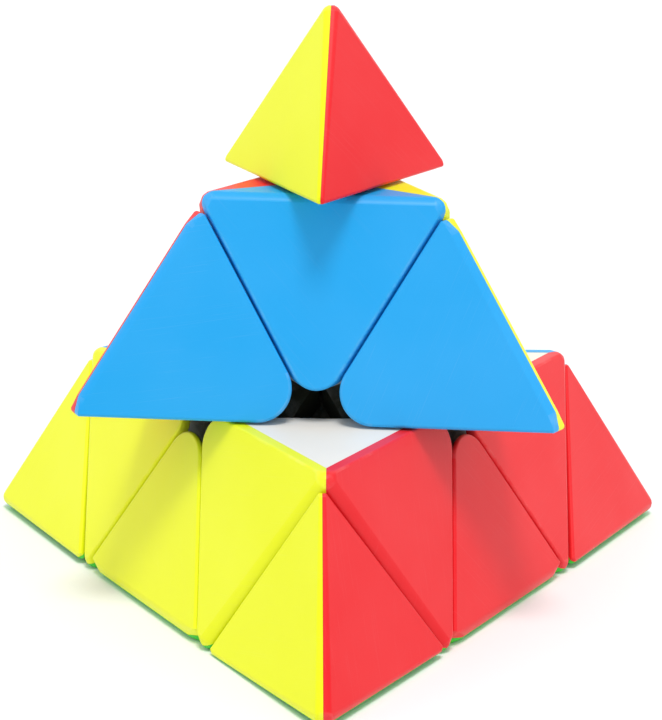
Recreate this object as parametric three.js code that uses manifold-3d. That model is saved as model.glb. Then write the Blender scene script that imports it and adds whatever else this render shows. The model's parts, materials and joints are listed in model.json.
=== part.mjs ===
// Pyramid twisty puzzle: a tetrahedron with four turning corners, in millimetres, +Z up.
//
// The origin is the centre of the core, where the four turning axes meet. The puzzle rests on one face.
// A level is the distance of a plane from the origin along a corner's axis. The four levels of a point
// add up to zero, so three of them place it.
//
// Every corner carries a small tip, an octahedral axial piece under it, and shares three edge pieces
// with its neighbours. The axial pieces are held to the core by sprung screws. Each edge piece has a
// spherical foot that hooks under its two axial pieces, and each tip snaps into its axial piece.

import * as THREE from 'three';
import { ConvexGeometry } from 'three/addons/geometries/ConvexGeometry.js';
import { mergeVertices } from 'three/addons/utils/BufferGeometryUtils.js';
import Module from 'manifold-3d';

const wasm = await Module();
wasm.setup();

// ---------------------------------------------------------------- driving dimensions

const EDGE_LENGTH = 100; // sharp edge of the tetrahedron, before its corners are rounded
const TIP_SHARE = 0.3253; // height above a tip's cut over the height of the whole
const LAYER_SHARE = 0.6715; // height of a turning layer over the height of the whole

const GAP = 0.3; // play between neighbouring pieces
const TIP_GAP = 0.45; // play between a tip and its axial piece
const TIP_INSET = 0.35; // depth of a tip's faces under the other pieces' faces
const CAP_THICKNESS = 1.5; // of tips and axial pieces
const EDGE_CAP_THICKNESS = 3.2;

const FILLET = 0.4; // rounding along the layers' grooves and round a tip's base
const RIM_RADIUS = 1.7; // rounding of an axial piece's rim under its tip
const EDGE_RADIUS = 1.6; // rounding along the tetrahedron's edges
const TIP_RADIUS = 0.6; // the same on the tips
const APEX_RADIUS = 1.2;
const AXIAL_CENTRE_RADIUS = 3.3; // outline radii where six pieces meet in the middle of a face
const EDGE_CENTRE_RADIUS = 4.4;

const UPPER_LAYER_TURN = 175; // degrees, seen from outside along the corner's axis
const TOP_TIP_TURN = -3.8;
const FRONT_TIP_TURN = 1.5;
const LEFT_TIP_TURN = 1.5;
const RIGHT_TIP_TURN = -1.5;

const CORE_RADIUS = 10.5;
const FOOT_INNER_RADIUS = 11;
const FOOT_OUTER_RADIUS = 15.75;
const SOCKET_RADIUS = 16.25; // hollow under an axial piece, over the feet
const FOOT_LEVEL = 2.2; // level of the turning surface inside the socket sphere
const NECK_HALF_WIDTH = 6.4;
const NECK_TOP = 20;

const ARM_RADIUS = 3.4;
const ARM_END = 12.5;
const HUB_RADIUS = 5.2;
const HUB_START = 10.9;
const BEARING_RADIUS = 3.7;
const FLOOR_START = 12.8;
const FLOOR_END = 15;
const SCREW_HOLE_RADIUS = 1.6;
const WELL_RADIUS = 4.7;
const LEDGE_LEVEL = 29.6;
const NECK_BORE_RADIUS = 4;

const SCREW_START = 4;
const SCREW_RADIUS = 1.3;
const SCREW_HEAD_RADIUS = 3.5;
const SCREW_HEAD_START = 21;
const SCREW_HEAD_END = 23.2;
const RECESS_LENGTH = 3.6;
const RECESS_WIDTH = 0.8;
const RECESS_DEPTH = 1.2;

const SPRING_RADIUS = 2.7; // to the middle of the wire
const WIRE_RADIUS = 0.35;
const SPRING_TURNS = 4;

const STEM_RADIUS = 3.7;
const STEM_BORE_RADIUS = 2.4;
const STEM_END = 27.4;
const LIP_RADIUS = 4.3;
const LIP_THICKNESS = 0.9;
const SLOT_WIDTH = 1.1;
const SLOT_TOP = 33.5;

// ---------------------------------------------------------------- derived sizes and directions

const HEIGHT = EDGE_LENGTH * Math.sqrt(2 / 3);
const FACE_DISTANCE = HEIGHT / 4;
const TIP_CUT = HEIGHT * (3 / 4 - TIP_SHARE);
const LAYER_CUT = HEIGHT * (3 / 4 - LAYER_SHARE);
const HALF_GAP = GAP / 2;
const LEVEL_WEIGHT = 3 / 4; // four unit axes at tetrahedral angles add up to 4/3 of any vector

const FILLET_STEPS = 2; // arc steps across a small rounding
const PATCH_STEPS = 4; // steps along each side of a rounded corner
const CENTRE_STEPS = 5; // arc steps at a face-centre corner
const ROUND_STEPS = 16; // steps round a bore or a stem
const SPHERE_STEPS = 24;
const SPRING_STEPS = 32;
const REACH = EDGE_LENGTH; // half size of a cutting block, past the whole puzzle

const CORNERS = {
  top: new THREE.Vector3(0, 0, 1),
  front: lowCorner(270),
  right: lowCorner(30),
  left: lowCorner(150),
};

// Colour of the face opposite each corner.
const FACE_COLOURS = { top: 'green', front: 'blue', right: 'yellow', left: 'red' };

const MATERIALS = {
  green: { color: 0x2fbf3a, roughness: 0.28, metalness: 0 },
  blue: { color: 0x2f9df4, roughness: 0.28, metalness: 0 },
  yellow: { color: 0xf2f53a, roughness: 0.28, metalness: 0 },
  red: { color: 0xf43c42, roughness: 0.28, metalness: 0 },
  white: { color: 0xe6e6e0, roughness: 0.35, metalness: 0 },
  black: { color: 0x121311, roughness: 0.4, metalness: 0 },
  steel: { color: 0xb8bcc0, roughness: 0.3, metalness: 1 },
};

// Direction of one of the three lower corners, at an azimuth in degrees.
function lowCorner(azimuth) {
  const angle = THREE.MathUtils.degToRad(azimuth);
  const spread = Math.sqrt(8) / 3;
  return new THREE.Vector3(spread * Math.cos(angle), spread * Math.sin(angle), -1 / 3);
}

// The four corner directions in the frame of a corner piece: its own corner first, along +Z.
const CORNER_AXES = [CORNERS.top, CORNERS.front, CORNERS.right, CORNERS.left];

// The same in the frame of an edge piece: its own two corners along +X and -X and up, then the
// two far corners along +Y and -Y and down.
const ALONG = Math.sqrt(2 / 3);
const UP = Math.sqrt(1 / 3);
const EDGE_AXES = [
  new THREE.Vector3(ALONG, 0, UP),
  new THREE.Vector3(-ALONG, 0, UP),
  new THREE.Vector3(0, ALONG, -UP),
  new THREE.Vector3(0, -ALONG, -UP),
];

// ---------------------------------------------------------------- solids

function solidOf(geometry) {
  const bare = geometry.clone();
  bare.deleteAttribute('normal');
  bare.deleteAttribute('uv');
  const merged = mergeVertices(bare);
  const vertProperties = new Float32Array(merged.attributes.position.array);
  const triVerts = new Uint32Array(merged.index.array);
  return new wasm.Manifold(new wasm.Mesh({ numProp: 3, vertProperties, triVerts }));
}

function geometryOf(solid) {
  const mesh = solid.getMesh();
  const geometry = new THREE.BufferGeometry();
  geometry.setAttribute('position', new THREE.BufferAttribute(mesh.vertProperties, 3));
  geometry.setIndex(new THREE.BufferAttribute(mesh.triVerts, 1));
  geometry.computeVertexNormals();
  return geometry;
}

function hullSolid(points) {
  return solidOf(new ConvexGeometry(points));
}

// A solid of revolution about +Z from [radius, level] pairs that start and end on the axis.
function turnedSolid(profile) {
  const points = profile.map(([radius, level]) => new THREE.Vector2(radius, level));
  const geometry = new THREE.LatheGeometry(points, ROUND_STEPS);
  geometry.rotateX(Math.PI / 2);
  return solidOf(geometry);
}

function sphereSolid(radius) {
  return solidOf(new THREE.SphereGeometry(radius, SPHERE_STEPS, SPHERE_STEPS / 2));
}

// Everything beyond a level along a direction.
function blockBeyond(direction, level) {
  const block = new THREE.BoxGeometry(2 * REACH, 2 * REACH, REACH);
  block.translate(0, 0, level + REACH / 2);
  block.applyQuaternion(new THREE.Quaternion().setFromUnitVectors(CORNERS.top, direction));
  return solidOf(block);
}

// The point with the given levels along the four axes. One level may be left undefined.
function pointAt(axes, levels) {
  const known = levels.reduce((sum, level) => sum + (level ?? 0), 0);
  const point = new THREE.Vector3();
  axes.forEach((axis, i) => point.addScaledVector(axis, LEVEL_WEIGHT * (levels[i] ?? -known)));
  return point;
}

// ---------------------------------------------------------------- rounded outsides

// One rounded corner of a flat outline: points on its arc, each with its outward direction.
function cornerArc(previous, corner, next, radius) {
  const toPrevious = previous.clone().sub(corner).normalize();
  const toNext = next.clone().sub(corner).normalize();
  const halfAngle = toPrevious.angleTo(toNext) / 2;
  const inward = toPrevious.clone().add(toNext).normalize();
  const centre = corner.clone().addScaledVector(inward, radius / Math.sin(halfAngle));
  const axis = toNext.clone().cross(toPrevious).normalize();
  const sweep = Math.PI - 2 * halfAngle;
  const arc = [];
  for (let step = 0; step <= CENTRE_STEPS; step += 1) {
    const angle = sweep * (step / CENTRE_STEPS - 1 / 2);
    const outward = inward.clone().negate().applyAxisAngle(axis, angle);
    arc.push({ point: centre.clone().addScaledVector(outward, radius), outward });
  }
  return arc;
}

// Points on the rounding from a face to a wall, about a point inside.
function rimArc(point, face, wall) {
  const arc = [];
  const whole = face.angleTo(wall);
  const axis = face.clone().cross(wall).normalize();
  for (let step = 0; step <= FILLET_STEPS; step += 1) {
    const direction = face.clone().applyAxisAngle(axis, (whole * step) / FILLET_STEPS);
    arc.push(point.clone().addScaledVector(direction, FILLET));
  }
  return arc;
}

// The rounding along the rim where six pieces meet in the middle of a face. slant is the cosine
// between the outward directions of the face and of the side walls.
function centreRim(face, previous, corner, next, radius, slant) {
  return cornerArc(previous, corner, next, radius - FILLET).flatMap(({ point, outward }) => {
    const wall = outward.clone().multiplyScalar(Math.sqrt(1 - slant * slant));
    return rimArc(point, face, wall.addScaledVector(face, slant));
  });
}

// Points on the part of a ball between the outward directions of three planes that it touches.
function ballPatch(centre, radius, [first, second, third]) {
  const patch = [];
  for (let i = 0; i <= PATCH_STEPS; i += 1) {
    for (let j = 0; j <= PATCH_STEPS - i; j += 1) {
      const direction = first.clone().multiplyScalar(i);
      direction.addScaledVector(second, j).addScaledVector(third, PATCH_STEPS - i - j);
      patch.push(centre.clone().addScaledVector(direction.normalize(), radius));
    }
  }
  return patch;
}

const FACE_LEVEL = -FACE_DISTANCE; // level of a coloured face along the corner opposite it
const TIP_FACE_LEVEL = FACE_LEVEL + TIP_INSET;
const TETRAHEDRAL = -1 / 3;
const OCTAHEDRAL = 1 / 3;

// Level where a groove's rounding ends and the wider one along the tetrahedron's edge begins.
function besideEdge(faceLevel, radius) {
  return faceLevel + (4 * radius - FILLET) / 3;
}

// Levels of a corner piece: its own, then the three neighbours from the k-th on.
function cornerLevels(k, own, first, second, third) {
  const levels = [own, 0, 0, 0];
  levels[1 + (k % 3)] = first;
  levels[1 + ((k + 1) % 3)] = second;
  levels[1 + ((k + 2) % 3)] = third;
  return levels;
}

// Axes of the k-th neighbour and of the two after it, pointing out of the faces opposite them.
function faceDirections(k) {
  return [0, 1, 2].map((step) => CORNER_AXES[1 + ((k + step) % 3)].clone().negate());
}

function cornerPoint(k, ...levels) {
  return pointAt(CORNER_AXES, cornerLevels(k, ...levels));
}

function tipHull() {
  const base = TIP_CUT + TIP_GAP / 2;
  const down = CORNERS.top.clone().negate();
  const near = TIP_FACE_LEVEL + FILLET;
  const nearEdge = besideEdge(TIP_FACE_LEVEL, TIP_RADIUS);
  const onEdge = TIP_FACE_LEVEL + TIP_RADIUS;
  const onApex = TIP_FACE_LEVEL + APEX_RADIUS;
  const points = ballPatch(cornerPoint(0, undefined, onApex, onApex, onApex), APEX_RADIUS, faceDirections(0));
  for (const k of [0, 1, 2]) {
    const [face, second, third] = faceDirections(k);
    const corner = cornerPoint(k, base + TIP_RADIUS, undefined, onEdge, onEdge);
    points.push(...ballPatch(corner, TIP_RADIUS, [second, third, down]));
    points.push(...rimArc(cornerPoint(k, base + FILLET, near, undefined, nearEdge), face, down));
    points.push(...rimArc(cornerPoint(k, base + FILLET, near, nearEdge, undefined), face, down));
  }
  return hullSolid(points);
}

function axialHull() {
  const top = TIP_CUT - TIP_GAP / 2;
  const side = LAYER_CUT - HALF_GAP;
  const wall = side - FILLET;
  const near = FACE_LEVEL + FILLET;
  const nearEdge = besideEdge(FACE_LEVEL, EDGE_RADIUS);
  const onEdge = FACE_LEVEL + EDGE_RADIUS;
  const onRim = FACE_LEVEL + RIM_RADIUS;
  const points = [];
  for (const k of [0, 1, 2]) {
    const [face, second, third] = faceDirections(k);
    const centre = cornerPoint(k, undefined, near, wall, wall);
    const left = cornerPoint(k, undefined, near, wall, nearEdge);
    const right = cornerPoint(k, undefined, near, nearEdge, wall);
    points.push(...centreRim(face, right, centre, left, AXIAL_CENTRE_RADIUS, OCTAHEDRAL));
    points.push(...rimArc(left, face, second.clone().negate()));
    points.push(...rimArc(right, face, third.clone().negate()));
    const upper = cornerPoint(k, top - RIM_RADIUS, undefined, onRim, onRim);
    points.push(...ballPatch(upper, RIM_RADIUS, [second, third, CORNERS.top]));
    const lower = cornerPoint(k, undefined, side - EDGE_RADIUS, onEdge, onEdge);
    points.push(...ballPatch(lower, EDGE_RADIUS, [second, third, face.clone().negate()]));
  }
  return hullSolid(points);
}

function edgeHull() {
  const side = LAYER_CUT + HALF_GAP;
  const wall = side + FILLET;
  const near = FACE_LEVEL + FILLET;
  const nearEdge = besideEdge(FACE_LEVEL, EDGE_RADIUS);
  const onEdge = FACE_LEVEL + EDGE_RADIUS;
  const onSide = side + EDGE_RADIUS;
  const [alongX, againstX, backFace, frontFace] = EDGE_AXES.map((axis) => axis.clone().negate());
  const front = (own, other, far) => pointAt(EDGE_AXES, [own, other, far, near]);
  const back = (own, other, far) => pointAt(EDGE_AXES, [own, other, near, far]);
  const points = [[frontFace, front], [backFace, back]].flatMap(([face, place]) => {
    const centre = place(wall, wall, undefined);
    const left = place(undefined, wall, nearEdge);
    const right = place(wall, undefined, nearEdge);
    return [
      ...centreRim(face, left, centre, right, EDGE_CENTRE_RADIUS, TETRAHEDRAL),
      ...rimArc(left, face, againstX),
      ...rimArc(right, face, alongX),
    ];
  });
  const plusEnd = pointAt(EDGE_AXES, [undefined, onSide, onEdge, onEdge]);
  const minusEnd = pointAt(EDGE_AXES, [onSide, undefined, onEdge, onEdge]);
  points.push(...ballPatch(plusEnd, EDGE_RADIUS, [backFace, frontFace, againstX]));
  points.push(...ballPatch(minusEnd, EDGE_RADIUS, [backFace, frontFace, alongX]));
  return hullSolid(points);
}

// ---------------------------------------------------------------- inside of the coloured shells

// The space of a corner piece below a depth under its three faces, between two of its own levels.
function cornerInside(faceLevel, depth, low, high) {
  const wall = faceLevel + depth;
  const points = [low, high].flatMap((own) => [
    pointAt(CORNER_AXES, [own, wall, wall, undefined]),
    pointAt(CORNER_AXES, [own, wall, undefined, wall]),
    pointAt(CORNER_AXES, [own, undefined, wall, wall]),
  ]);
  return hullSolid(points);
}

// The space of an edge piece below a depth under its two faces.
function edgeInside(depth) {
  const wall = FACE_LEVEL + depth;
  const points = [-REACH, REACH].flatMap((shift) => [
    pointAt(EDGE_AXES, [-wall + shift, -wall - shift, wall, wall]),
    pointAt(EDGE_AXES, [shift, -shift, wall, -wall]),
    pointAt(EDGE_AXES, [shift, -shift, -wall, wall]),
  ]);
  return hullSolid(points);
}

// A third of the space round +Z, over the face opposite the k-th neighbour, clear of its seams.
function faceSector(k) {
  const sector = new THREE.Shape();
  sector.moveTo(0, 0);
  sector.lineTo(REACH * Math.cos(Math.PI / 6), REACH * Math.sin(Math.PI / 6));
  sector.lineTo(-REACH * Math.cos(Math.PI / 6), REACH * Math.sin(Math.PI / 6));
  const geometry = new THREE.ExtrudeGeometry(sector, { depth: REACH, bevelEnabled: false });
  geometry.translate(0, HALF_GAP / Math.sin(Math.PI / 3), 0);
  geometry.rotateZ(k * (2 * Math.PI) / 3);
  return solidOf(geometry);
}

// ---------------------------------------------------------------- the pieces, each in its own frame

const INSIDE_FLOOR = -REACH / 2;
const SHELL_DEPTH = CAP_THICKNESS + GAP;

// The level where a tip's three faces, taken down to a depth, meet.
function apexLevel(depth) {
  return -3 * (TIP_FACE_LEVEL + depth);
}

function tipCaps() {
  const top = apexLevel(CAP_THICKNESS) - FILLET;
  const shell = tipHull().subtract(cornerInside(TIP_FACE_LEVEL, CAP_THICKNESS, INSIDE_FLOOR, top));
  return [0, 1, 2].map((k) => shell.intersect(faceSector(k)));
}

// The tip's inner body with its snap stem: a split tube whose lip sits under the axial's ledge.
function tipBody() {
  const top = apexLevel(SHELL_DEPTH) - FILLET;
  const inside = tipHull().intersect(cornerInside(TIP_FACE_LEVEL, SHELL_DEPTH, INSIDE_FLOOR, top));
  const lipTop = LEDGE_LEVEL - GAP;
  const stem = turnedSolid([
    [0, STEM_END],
    [STEM_RADIUS - HALF_GAP, STEM_END],
    [LIP_RADIUS, lipTop - LIP_THICKNESS],
    [LIP_RADIUS, lipTop],
    [STEM_RADIUS, lipTop],
    [STEM_RADIUS, TIP_CUT + CAP_THICKNESS],
    [0, TIP_CUT + CAP_THICKNESS],
  ]);
  const bore = turnedSolid([
    [0, STEM_END - GAP],
    [STEM_BORE_RADIUS, STEM_END - GAP],
    [STEM_BORE_RADIUS, SLOT_TOP],
    [0, SLOT_TOP],
  ]);
  const slots = [0, Math.PI / 2].map((angle) => {
    const slot = new THREE.BoxGeometry(4 * STEM_RADIUS, SLOT_WIDTH, SLOT_TOP - STEM_END + GAP);
    slot.translate(0, 0, (SLOT_TOP + STEM_END - GAP) / 2);
    slot.rotateZ(angle);
    return solidOf(slot);
  });
  return inside.add(stem).subtract(bore).subtract(slots[0]).subtract(slots[1]);
}

function axialCaps() {
  const ceiling = TIP_CUT - TIP_GAP / 2 - CAP_THICKNESS;
  const stemHole = turnedSolid([
    [0, 0],
    [WELL_RADIUS, 0],
    [WELL_RADIUS, EDGE_LENGTH],
    [0, EDGE_LENGTH],
  ]);
  const inside = cornerInside(FACE_LEVEL, CAP_THICKNESS, INSIDE_FLOOR, ceiling);
  const shell = axialHull().subtract(inside).subtract(stemHole);
  return [0, 1, 2].map((k) => shell.intersect(faceSector(k)));
}

// The axial's inner body: a hub that turns on the core's arm, a floor that the spring presses on,
// a well for spring and screw, and a ledge that holds the tip.
function axialBody() {
  const ceiling = TIP_CUT - TIP_GAP / 2 - SHELL_DEPTH;
  const inside = axialHull().intersect(cornerInside(FACE_LEVEL, SHELL_DEPTH, INSIDE_FLOOR, ceiling));
  const hub = turnedSolid([
    [0, HUB_START],
    [HUB_RADIUS, HUB_START],
    [HUB_RADIUS, SCREW_HEAD_START],
    [0, SCREW_HEAD_START],
  ]);
  const bore = turnedSolid([
    [0, 0],
    [BEARING_RADIUS, 0],
    [BEARING_RADIUS, FLOOR_START],
    [SCREW_HOLE_RADIUS, FLOOR_START],
    [SCREW_HOLE_RADIUS, FLOOR_END],
    [WELL_RADIUS, FLOOR_END],
    [WELL_RADIUS, LEDGE_LEVEL],
    [NECK_BORE_RADIUS, LEDGE_LEVEL],
    [NECK_BORE_RADIUS, EDGE_LENGTH],
    [0, EDGE_LENGTH],
  ]);
  return inside.subtract(sphereSolid(SOCKET_RADIUS)).add(hub).subtract(bore);
}

function edgeCaps() {
  const shell = edgeHull().subtract(edgeInside(EDGE_CAP_THICKNESS));
  const forward = new THREE.Vector3(0, 1, 0);
  return [forward, forward.clone().negate()].map((side) => shell.intersect(blockBeyond(side, HALF_GAP)));
}

// The part of the shell between the foot spheres that turns with an edge piece.
function edgeFoot() {
  const [plusX, minusX, plusY, minusY] = EDGE_AXES;
  const ownLevel = FOOT_LEVEL + HALF_GAP;
  const farLevel = FOOT_LEVEL - HALF_GAP;
  return sphereSolid(FOOT_OUTER_RADIUS)
    .subtract(sphereSolid(FOOT_INNER_RADIUS))
    .intersect(blockBeyond(plusX, ownLevel))
    .intersect(blockBeyond(minusX, ownLevel))
    .subtract(blockBeyond(plusY, farLevel))
    .subtract(blockBeyond(minusY, farLevel));
}

// The wedge that joins the foot to the rest, between the two neighbouring axial pieces.
function edgeNeck() {
  const side = LAYER_CUT + HALF_GAP;
  const wedge = new THREE.Shape();
  wedge.moveTo(0, side / UP);
  wedge.lineTo((NECK_TOP * UP - side) / ALONG, NECK_TOP);
  wedge.lineTo(-(NECK_TOP * UP - side) / ALONG, NECK_TOP);
  const geometry = new THREE.ExtrudeGeometry(wedge, { depth: 2 * NECK_HALF_WIDTH, bevelEnabled: false });
  geometry.translate(0, 0, -NECK_HALF_WIDTH);
  geometry.rotateX(Math.PI / 2);
  return solidOf(geometry);
}

function edgeBody() {
  return edgeHull().intersect(edgeInside(EDGE_CAP_THICKNESS + GAP)).add(edgeNeck()).add(edgeFoot());
}

function coreSolid() {
  const arm = turnedSolid([
    [0, 0],
    [ARM_RADIUS, 0],
    [ARM_RADIUS, ARM_END],
    [0, ARM_END],
  ]);
  const hole = turnedSolid([
    [0, SCREW_START - GAP],
    [SCREW_HOLE_RADIUS, SCREW_START - GAP],
    [SCREW_HOLE_RADIUS, EDGE_LENGTH],
    [0, EDGE_LENGTH],
  ]);
  const names = Object.keys(CORNERS);
  const ball = solidOf(new THREE.SphereGeometry(CORE_RADIUS, ROUND_STEPS, ROUND_STEPS / 2));
  const joined = names.reduce((solid, name) => solid.add(turnedTo(arm, name)), ball);
  return names.reduce((solid, name) => solid.subtract(turnedTo(hole, name)), joined);
}

function turnedTo(solid, corner) {
  return solidOf(geometryOf(solid).applyQuaternion(cornerRotation(corner)));
}

function screwSolid() {
  const blank = turnedSolid([
    [0, SCREW_START],
    [SCREW_RADIUS, SCREW_START + SCREW_RADIUS],
    [SCREW_RADIUS, SCREW_HEAD_START],
    [SCREW_HEAD_RADIUS, SCREW_HEAD_START],
    [SCREW_HEAD_RADIUS, SCREW_HEAD_END - RECESS_WIDTH],
    [SCREW_HEAD_RADIUS - RECESS_WIDTH, SCREW_HEAD_END],
    [0, SCREW_HEAD_END],
  ]);
  const bars = [[RECESS_LENGTH, RECESS_WIDTH], [RECESS_WIDTH, RECESS_LENGTH]].map(([width, depth]) => {
    const bar = new THREE.BoxGeometry(width, depth, 2 * RECESS_DEPTH);
    bar.translate(0, 0, SCREW_HEAD_END);
    return solidOf(bar);
  });
  return blank.subtract(bars[0]).subtract(bars[1]);
}

class Helix extends THREE.Curve {
  constructor(radius, start, end, turns) {
    super();
    this.radius = radius;
    this.start = start;
    this.end = end;
    this.turns = turns;
  }

  getPoint(t, target = new THREE.Vector3()) {
    const angle = 2 * Math.PI * this.turns * t;
    const level = THREE.MathUtils.lerp(this.start, this.end, t);
    return target.set(this.radius * Math.cos(angle), this.radius * Math.sin(angle), level);
  }
}

function springSolid() {
  const start = FLOOR_END + WIRE_RADIUS + HALF_GAP;
  const end = SCREW_HEAD_START - WIRE_RADIUS - HALF_GAP;
  const path = new Helix(SPRING_RADIUS, start, end, SPRING_TURNS);
  const wire = new THREE.Shape();
  wire.moveTo(WIRE_RADIUS, 0);
  wire.lineTo(0, WIRE_RADIUS);
  wire.lineTo(-WIRE_RADIUS, 0);
  wire.lineTo(0, -WIRE_RADIUS);
  return solidOf(new THREE.ExtrudeGeometry(wire, { steps: SPRING_STEPS, extrudePath: path }));
}

// ---------------------------------------------------------------- assembly

// The half turn that brings the top corner to the named one.
function cornerRotation(corner) {
  if (corner === 'top') {
    return new THREE.Quaternion();
  }
  const axis = CORNERS.top.clone().add(CORNERS[corner]).normalize();
  return new THREE.Quaternion().setFromAxisAngle(axis, Math.PI);
}

// Where that half turn takes another corner: the named one and the top change places, and so do
// the other two.
function cornerImage(name, corner) {
  if (corner === 'top') {
    return name;
  }
  if (name === 'top') {
    return corner;
  }
  return name === corner ? 'top' : Object.keys(CORNERS).find((n) => !['top', name, corner].includes(n));
}

function addPiece(parent, name, solid, colour, rotation = new THREE.Quaternion()) {
  const mesh = new THREE.Mesh(geometryOf(solid), new THREE.MeshStandardMaterial(MATERIALS[colour]));
  mesh.name = name;
  mesh.quaternion.copy(rotation);
  parent.add(mesh);
}

// A body and its coloured caps at one corner, turned about its axis by an angle in degrees. The caps
// lie opposite the corner's three neighbours.
function addCornerPieces(parent, corner, kind, turn, body, caps) {
  const rotation = cornerRotation(corner);
  const ownTurn = new THREE.Quaternion().setFromAxisAngle(CORNERS.top, THREE.MathUtils.degToRad(turn));
  rotation.multiply(ownTurn);
  addPiece(parent, `${corner}_${kind}_body`, body, 'white', rotation);
  ['front', 'right', 'left'].forEach((neighbour, k) => {
    const colour = FACE_COLOURS[cornerImage(neighbour, corner)];
    addPiece(parent, `${corner}_${kind}_cap_${colour}`, caps[k], colour, rotation);
  });
}

// A body and its two caps along one edge. Both lie opposite one of the two far corners.
function addEdgePieces(parent, first, second, body, caps) {
  const alongX = CORNERS[first].clone().sub(CORNERS[second]).normalize();
  const alongZ = CORNERS[first].clone().add(CORNERS[second]).normalize();
  const alongY = alongZ.clone().cross(alongX);
  const frame = new THREE.Matrix4().makeBasis(alongX, alongY, alongZ);
  const rotation = new THREE.Quaternion().setFromRotationMatrix(frame);
  const far = Object.keys(CORNERS).filter((name) => name !== first && name !== second);
  far.sort((a, b) => CORNERS[a].dot(alongY) - CORNERS[b].dot(alongY));
  const [frontColour, backColour] = far.map((name) => FACE_COLOURS[name]);
  const name = `edge_${frontColour}_${backColour}`;
  addPiece(parent, `${name}_body`, body, 'black', rotation);
  addPiece(parent, `${name}_cap_${frontColour}`, caps[0], frontColour, rotation);
  addPiece(parent, `${name}_cap_${backColour}`, caps[1], backColour, rotation);
}

const TIP_TURNS = {
  top: TOP_TIP_TURN,
  front: FRONT_TIP_TURN,
  left: LEFT_TIP_TURN,
  right: RIGHT_TIP_TURN,
};

const puzzle = new THREE.Group();
const baseLayer = new THREE.Group();
const upperLayer = new THREE.Group();
upperLayer.rotation.z = THREE.MathUtils.degToRad(UPPER_LAYER_TURN);
puzzle.add(baseLayer, upperLayer);

addPiece(baseLayer, 'core', coreSolid(), 'black');

const screw = screwSolid();
const spring = springSolid();
const axialPieces = [axialBody(), axialCaps()];
const tipPieces = [tipBody(), tipCaps()];
for (const corner of Object.keys(CORNERS)) {
  addPiece(baseLayer, `${corner}_screw`, screw, 'steel', cornerRotation(corner));
  addPiece(baseLayer, `${corner}_spring`, spring, 'steel', cornerRotation(corner));
  addCornerPieces(corner === 'top' ? upperLayer : baseLayer, corner, 'axial', 0, ...axialPieces);
  addCornerPieces(baseLayer, corner, 'tip', TIP_TURNS[corner], ...tipPieces);
}

const edgePieces = [edgeBody(), edgeCaps()];
for (const [first, second] of [['front', 'left'], ['left', 'right'], ['right', 'front']]) {
  addEdgePieces(baseLayer, first, second, ...edgePieces);
}
for (const corner of ['front', 'left', 'right']) {
  addEdgePieces(upperLayer, 'top', corner, ...edgePieces);
}

export default puzzle;
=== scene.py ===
"""Looks of the pyramid twisty puzzle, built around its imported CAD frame.

Every piece is modelled once, in millimetres and in a frame of its own: a corner piece has its
corner along +Z, and an edge piece has its edge along X and faces up. It is then copied to its
places, in metres, with the turns of the layer and the tips that the frame holds at rest.

A level is the distance of a plane from the core's centre along a corner's axis. The four levels
of a point add up to zero.
"""

import json
import math

import bmesh
import bpy
from mathutils import Matrix, Quaternion, Vector


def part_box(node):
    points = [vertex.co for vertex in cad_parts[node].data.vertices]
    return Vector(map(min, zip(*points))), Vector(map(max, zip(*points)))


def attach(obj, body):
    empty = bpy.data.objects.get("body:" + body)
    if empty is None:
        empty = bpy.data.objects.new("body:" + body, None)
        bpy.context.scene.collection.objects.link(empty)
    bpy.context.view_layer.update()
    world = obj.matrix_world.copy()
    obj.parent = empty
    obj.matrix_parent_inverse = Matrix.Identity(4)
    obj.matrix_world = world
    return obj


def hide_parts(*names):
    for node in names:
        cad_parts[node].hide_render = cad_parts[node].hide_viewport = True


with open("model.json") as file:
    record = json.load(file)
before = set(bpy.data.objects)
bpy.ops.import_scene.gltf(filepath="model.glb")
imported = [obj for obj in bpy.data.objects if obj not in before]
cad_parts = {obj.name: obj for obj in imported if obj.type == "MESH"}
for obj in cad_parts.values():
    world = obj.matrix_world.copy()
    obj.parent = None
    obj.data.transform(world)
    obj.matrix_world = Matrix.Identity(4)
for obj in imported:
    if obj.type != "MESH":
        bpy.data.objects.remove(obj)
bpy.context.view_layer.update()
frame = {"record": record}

MM = 0.001
scene = bpy.context.scene
scene.view_settings.view_transform = "Standard"

# ---------------------------------------------------------------- sizes, in millimetres


def top_of(node):
    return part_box(node)[1].z / MM


def bottom_of(node):
    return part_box(node)[0].z / MM


TIP_INSET = 0.35  # depth of a tip's faces under the other pieces' faces
FACE_LEVEL = bottom_of("front_axial_cap_green")
TIP_FACE_LEVEL = FACE_LEVEL + TIP_INSET
TIP_BASE = bottom_of("top_tip_cap_blue")
AXIAL_TOP = top_of("top_axial_cap_blue")
AXIAL_SIDE = top_of("front_axial_cap_red")
EDGE_SIDE = bottom_of("edge_yellow_red_cap_red")

UPPER_LAYER_TURN = 175  # degrees, as in the frame at rest
TIP_TURNS = {"top": -3.8, "front": 1.5, "left": 1.5, "right": -1.5}

FILLET = 0.4  # along a groove
RIM_RADIUS = 1.7  # along the rim of an axial piece under its tip
EDGE_RADIUS = 1.62  # along the tetrahedron's edges
TIP_RADIUS = 0.6  # the same on the tips
APEX_RADIUS = 1.29  # at the outer end of a tip
AXIAL_CENTRE_RADIUS = 3.3  # outline radii where six pieces meet in the middle of a face
EDGE_CENTRE_RADIUS = 4.4
CAP_DEPTH = 1.5
EDGE_CAP_DEPTH = 3.2
CAP_PLAY = 0.06  # between a cap and the body that it sits on
SEAM_PLAY = 0.02  # between two caps
SEAM_BEVEL = 0.05
FOOT_BEVEL = 0.25
MARGIN = 1  # how far joined solids run into each other and cuts run past their end

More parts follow.
